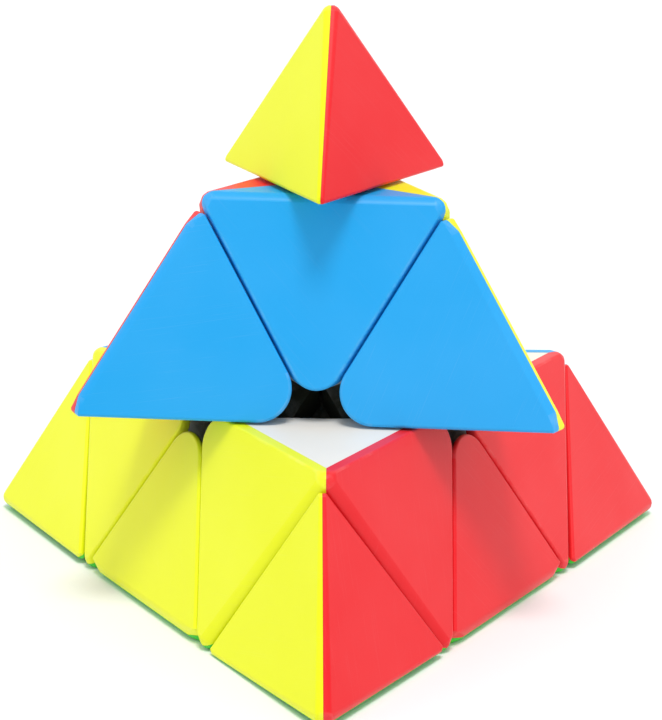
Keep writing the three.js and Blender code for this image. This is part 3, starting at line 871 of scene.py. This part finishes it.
def finished(solid, outward):
    """A mesh in local millimetres with smooth rounds and flat faces. Its map holds millimetres
    across the outward direction, and its rim attribute marks the narrow faces of the rounds."""
    work = thing(solid)
    mesh = work.data
    across = outward.orthogonal().normalized()
    ahead = outward.cross(across)
    layout = mesh.uv_layers.new(name="face_mm")
    for loop, spot in zip(mesh.loops, layout.data):
        place = mesh.vertices[loop.vertex_index].co
        spot.uv = (place.dot(across), place.dot(ahead))
    rim = mesh.attributes.new("rim", "FLOAT", "FACE")
    narrow = [1.0 if face.area < RIM_AREA else 0.0 for face in mesh.polygons]
    rim.data.foreach_set("value", narrow)
    mesh.polygons.foreach_set("use_smooth", [True] * len(mesh.polygons))
    mesh.set_sharp_from_angle(angle=SHARP_ABOVE)
    weighted = work.modifiers.new("weighted", "WEIGHTED_NORMAL")
    weighted.keep_sharp = True
    weighted.weight = NORMAL_WEIGHT
    evaluated = work.evaluated_get(bpy.context.evaluated_depsgraph_get())
    made = bpy.data.meshes.new_from_object(evaluated)
    bpy.data.objects.remove(work)
    bpy.data.meshes.remove(mesh)
    return made


node_body = {
    node: body
    for body, members in frame["record"]["behaviour"]["bodies"].items()
    for node in members
}


def place_piece(node, mesh, colour, placement, own_turn=0):
    """A copy of a mesh in metres, standing for a CAD node and riding with it."""
    body = node_body[node]
    layer_turn = UPPER_LAYER_TURN if body == "upper_layer" else 0
    before = Matrix.Rotation(math.radians(own_turn), 4, "Z")
    after = Matrix.Rotation(math.radians(layer_turn), 4, "Z")
    copy = mesh.copy()
    copy.name = f"{node}_fine"
    copy.transform(Matrix.Scale(MM, 4) @ after @ placement @ before)
    shift = MAP_STRIDE * len(placed)
    for spot in copy.uv_layers["face_mm"].data:
        spot.uv += Vector((shift, shift))
    placed.append(node)
    copy.materials.append(MATERIALS[colour])
    piece = bpy.data.objects.new(f"{node}_fine", copy)
    scene.collection.objects.link(piece)
    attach(piece, body)
    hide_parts(node)


def corner_turn(corner):
    """The half turn that brings the top corner to the named one."""
    if corner == "top":
        return Matrix.Identity(4)
    return Matrix.Rotation(math.pi, 4, (Z + CORNERS[corner]).normalized())


def corner_image(name, corner):
    """Where that half turn takes another corner."""
    if corner == "top":
        return name
    if name == "top":
        return corner
    if name == corner:
        return "top"
    return next(n for n in CORNERS if n not in ("top", name, corner))


meshes = {
    name: finished(make(), outward)
    for name, make, outward in (
        ("tip_cap", tip_cap, -CORNER_AXES[1]),
        ("tip_body", tip_body, Z),
        ("axial_cap", axial_cap, -CORNER_AXES[1]),
        ("axial_body", axial_body, Z),
        ("edge_cap", edge_cap, -EDGE_AXES[3]),
        ("edge_body", edge_body, Z),
        ("core", core, Z),
        ("screw", screw, Z),
        ("spring", spring, Z),
    )
}
placed = []

place_piece("core", meshes["core"], "black", Matrix.Identity(4))
for corner in CORNERS:
    placement = corner_turn(corner)
    place_piece(f"{corner}_screw", meshes["screw"], "steel", placement)
    place_piece(f"{corner}_spring", meshes["spring"], "steel", placement)
    for kind in ("axial", "tip"):
        own_turn = TIP_TURNS[corner] if kind == "tip" else 0
        place_piece(f"{corner}_{kind}_body", meshes[f"{kind}_body"], "white", placement, own_turn)
        for k, neighbour in enumerate(("front", "right", "left")):
            colour = FACE_COLOURS[corner_image(neighbour, corner)]
            node = f"{corner}_{kind}_cap_{colour}"
            cap_turn = own_turn + THIRD_TURN * k
            place_piece(node, meshes[f"{kind}_cap"], colour, placement, cap_turn)

EDGES = (
    ("front", "left"),
    ("left", "right"),
    ("right", "front"),
    ("top", "front"),
    ("top", "left"),
    ("top", "right"),
)
half_turn = Matrix.Rotation(math.pi, 4, "Z")
for first, second in EDGES:
    x = (CORNERS[first] - CORNERS[second]).normalized()
    z = (CORNERS[first] + CORNERS[second]).normalized()
    y = z.cross(x)
    placement = Matrix((x, y, z)).transposed().to_4x4()
    others = [name for name in CORNERS if name not in (first, second)]
    others.sort(key=lambda name: CORNERS[name].dot(y))
    colours = [FACE_COLOURS[name] for name in others]
    node = "edge_" + "_".join(colours)
    place_piece(f"{node}_body", meshes["edge_body"], "black", placement)
    for colour, cap_placement in zip(colours, (placement, placement @ half_turn)):
        place_piece(f"{node}_cap_{colour}", meshes["edge_cap"], colour, cap_placement)

# ---------------------------------------------------------------- floor

PAPER_SCALE = 4
PAPER_DARK = (0.93, 0.93, 0.93, 1)
PAPER_LIGHT = (0.95, 0.95, 0.95, 1)
PAPER_ROUGHNESS = 0.7
PAPER_GLOSS = 0.1


def sweep(level):
    """A floor that curves up into a backdrop far behind, all in metres."""
    half_width, front, back, radius, height, steps = 4.0, -4.0, 4.0, 1.5, 3.0, 12
    profile = [(front, 0.0), (back, 0.0)]
    for step in range(1, steps + 1):
        angle = math.pi / 2 * step / steps
        profile.append((back + radius * math.sin(angle), radius * (1 - math.cos(angle))))
    profile.append((back + radius, height))
    mesh = bmesh.new()
    rows = [
        [mesh.verts.new((x, y, level + z)) for x in (-half_width, half_width)] for y, z in profile
    ]
    for near, far in zip(rows, rows[1:]):
        mesh.faces.new((near[0], near[1], far[1], far[0]))
    made = thing(mesh)
    made.name = "floor_sweep"
    made.data.name = "floor_sweep"
    made.data.polygons.foreach_set("use_smooth", [True] * len(made.data.polygons))
    material, tree, shader = new_material("studio_white")
    shader.inputs["Roughness"].default_value = PAPER_ROUGHNESS
    shader.inputs["Specular IOR Level"].default_value = PAPER_GLOSS
    place = tree.nodes.new("ShaderNodeTexCoord").outputs["Object"]
    paper = noise(tree, place, PAPER_SCALE)
    tree.links.new(tinted(tree, paper, PAPER_DARK, PAPER_LIGHT), shader.inputs["Base Color"])
    made.data.materials.append(material)


sweep(FACE_LEVEL * MM)

# ---------------------------------------------------------------- light

STUDIO_LIGHT = 0.7  # from all sides
SIDE_LIGHT = 0.08  # what the side walls add
BACK_LIGHT = 0.5  # what the wall behind the object adds
# Where each wall begins and where it is at its full strength, as a component of the direction.
SIDE_WALLS = (0.6, 0.95)
BACK_WALL = (0.1, 0.7)
WALL_TOP = (0.75, 0.35)

KEY_DIRECTION = (-0.05, 0.27, -0.96)
KEY_STRENGTH = 1.6
KEY_SPREAD = 20  # degrees, sets how soft the shadows are


def studio_walls(tree):
    """Even light with a bright wall low behind the object and faint ones at its sides."""
    parts = tree.nodes.new("ShaderNodeSeparateXYZ")
    direction = tree.nodes.new("ShaderNodeTexCoord").outputs["Generated"]
    tree.links.new(direction, parts.inputs["Vector"])

    def ramp(value, limits, top):
        return remap(tree, value, 0, top, *limits, "SMOOTHSTEP")

    side = ramp(calculate(tree, "ABSOLUTE", parts.outputs["X"]), SIDE_WALLS, SIDE_LIGHT)
    back = ramp(parts.outputs["Y"], BACK_WALL, BACK_LIGHT)
    walls = calculate(tree, "MAXIMUM", side, back)
    glow = calculate(tree, "MULTIPLY", walls, ramp(parts.outputs["Z"], WALL_TOP, 1))
    background = tree.nodes["Background"]
    background.inputs["Color"].default_value = (1, 1, 1, 1)
    tree.links.new(calculate(tree, "ADD", glow, STUDIO_LIGHT), background.inputs["Strength"])


world = bpy.data.worlds.new("studio")
scene.world = world
world.use_nodes = True
studio_walls(world.node_tree)

sun = bpy.data.lights.new("key", "SUN")
sun.energy = KEY_STRENGTH
sun.angle = math.radians(KEY_SPREAD)
key = bpy.data.objects.new("key", sun)
scene.collection.objects.link(key)
key.rotation_mode = "QUATERNION"
key.rotation_quaternion = Vector(KEY_DIRECTION).to_track_quat("-Z", "Y")

# ---------------------------------------------------------------- camera

CAMERA_PLACE = (1.2, -362.4, 112.4)  # millimetres
CAMERA_YAW = math.radians(0.131)
CAMERA_PITCH = math.radians(15.795)
CAMERA_ROLL = math.radians(0.535)
CAMERA_LENS = 140.62
SENSOR_WIDTH = 36
CLIP_START = 0.01  # metres
CLIP_END = 50

camera = bpy.data.cameras.new("camera")
camera.sensor_width = SENSOR_WIDTH
camera.lens = CAMERA_LENS
camera.clip_start = CLIP_START
camera.clip_end = CLIP_END
viewer = bpy.data.objects.new("camera", camera)
scene.collection.objects.link(viewer)
forward = Vector((
    -math.sin(CAMERA_YAW) * math.cos(CAMERA_PITCH),
    math.cos(CAMERA_YAW) * math.cos(CAMERA_PITCH),
    -math.sin(CAMERA_PITCH),
))
level_right = Vector((math.cos(CAMERA_YAW), math.sin(CAMERA_YAW), 0))
level_up = level_right.cross(forward)
right = level_right * math.cos(CAMERA_ROLL) + level_up * math.sin(CAMERA_ROLL)
up = level_up * math.cos(CAMERA_ROLL) - level_right * math.sin(CAMERA_ROLL)
aim = Matrix((right, up, -forward)).transposed().to_4x4()
viewer.matrix_world = Matrix.Translation(Vector(CAMERA_PLACE) * MM) @ aim
scene.camera = viewer
